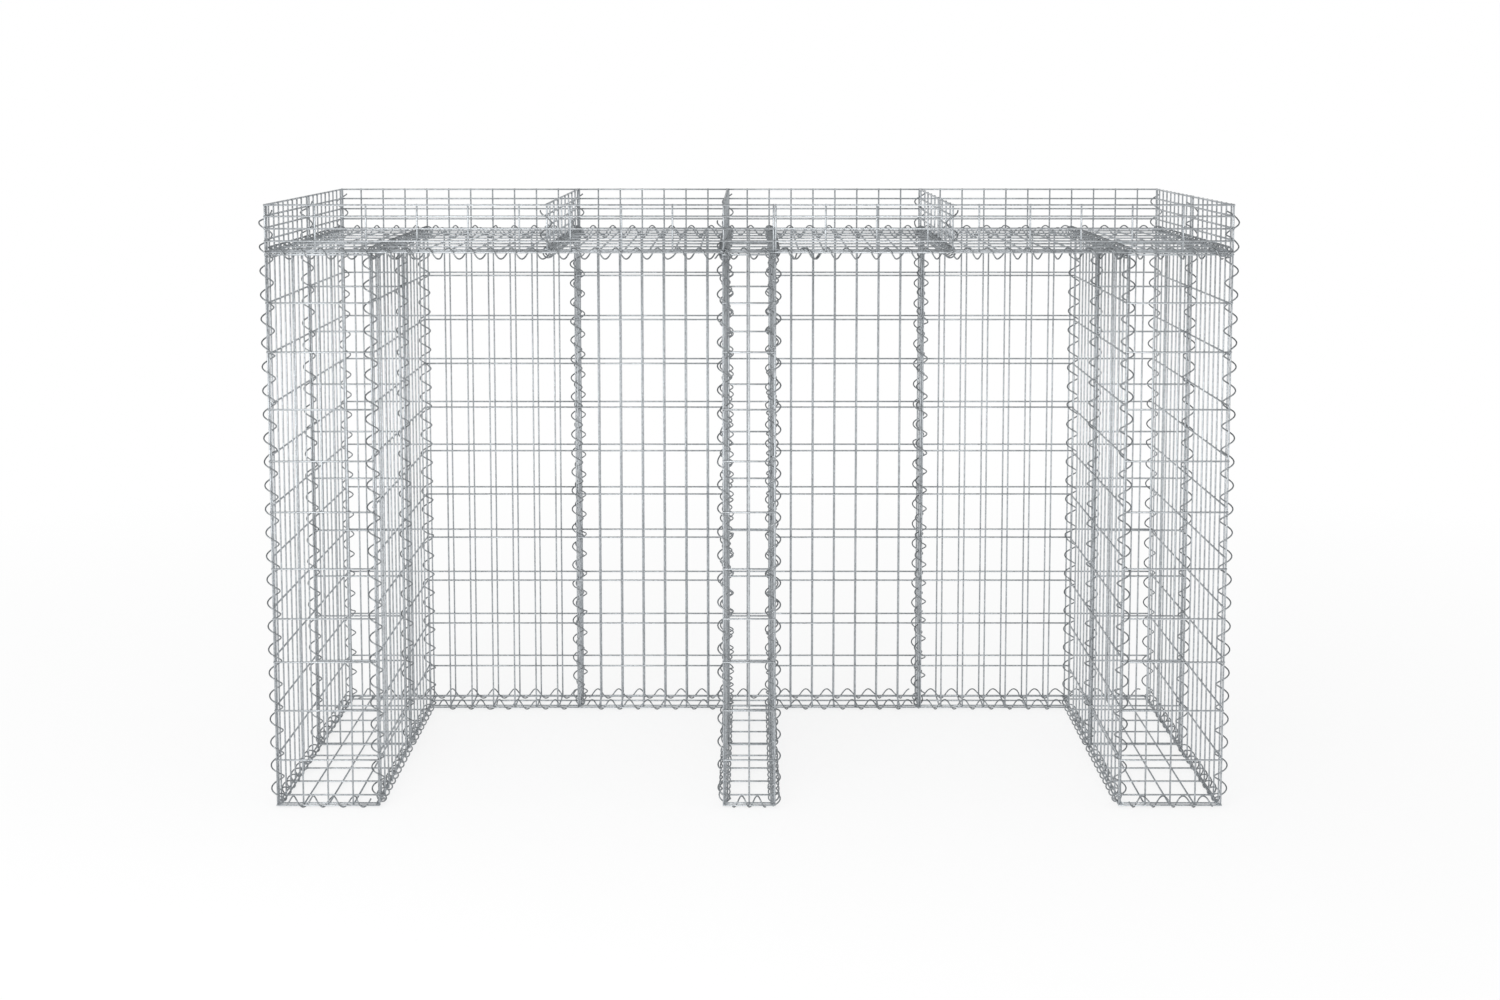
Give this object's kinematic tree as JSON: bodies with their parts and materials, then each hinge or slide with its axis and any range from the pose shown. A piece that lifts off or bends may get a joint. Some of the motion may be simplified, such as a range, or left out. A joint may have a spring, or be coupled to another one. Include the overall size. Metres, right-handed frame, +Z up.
{
  "type": "gabion bin store",
  "caption": "Welded wire mesh gabion store: open-fronted bin bays between hollow walls for stone fill, under a mesh cover with a shallow partitioned tray.",
  "frame": {"origin": "on the ground at the middle of the plan", "axes": "+Z up, +X to the right seen from the open front, +Y from the front to the rear"},
  "size_m": [1.9218, 0.9254, 1.212],
  "materials": {
    "panel_wire": "galvanised, dull",
    "spiral_wire": "galvanised, dull"
  },
  "bodies": {
    "root": {"back_divider_1": "panel_wire", "back_divider_2": "panel_wire", "back_divider_3": "panel_wire", "back_floor_1": "panel_wire", "back_floor_2": "panel_wire", "back_floor_3": "panel_wire", "back_floor_4": "panel_wire", "back_inner_panel_1": "panel_wire", "back_inner_panel_2": "panel_wire", "back_inner_panel_3": "panel_wire", "back_inner_panel_4": "panel_wire", "centre_floor": "panel_wire", "centre_front_panel": "panel_wire", "centre_partition": "panel_wire", "corner_spiral_1": "spiral_wire", "corner_spiral_2": "spiral_wire", "corner_spiral_3": "spiral_wire", "corner_spiral_4": "spiral_wire", "corner_spiral_5": "spiral_wire", "corner_spiral_6": "spiral_wire", "cover_1": "panel_wire", "cover_2": "panel_wire", "cover_3": "panel_wire", "cover_4": "panel_wire", "cover_5": "panel_wire", "cover_6": "panel_wire", "cover_7": "panel_wire", "front_base_spirals": "spiral_wire", "left_bay_left_front_panel": "panel_wire", "left_bay_left_rear_panel": "panel_wire", "left_bay_right_front_panel": "panel_wire", "left_bay_right_rear_panel": "panel_wire", "left_floor": "panel_wire", "left_front_panel": "panel_wire", "left_outer_front_panel": "panel_wire", "left_outer_rear_panel": "panel_wire", "left_partition": "panel_wire", "rear_base_spirals": "spiral_wire", "rear_panel_1": "panel_wire", "rear_panel_2": "panel_wire", "rear_panel_3": "panel_wire", "rear_panel_4": "panel_wire", "right_bay_left_front_panel": "panel_wire", "right_bay_left_rear_panel": "panel_wire", "right_bay_right_front_panel": "panel_wire", "right_bay_right_rear_panel": "panel_wire", "right_floor": "panel_wire", "right_front_panel": "panel_wire", "right_outer_front_panel": "panel_wire", "right_outer_rear_panel": "panel_wire", "right_partition": "panel_wire", "tray_front_strip_left": "panel_wire", "tray_front_strip_right": "panel_wire", "tray_partition_1": "panel_wire", "tray_partition_2": "panel_wire", "tray_partition_3": "panel_wire"}
  },
  "joints": []
}
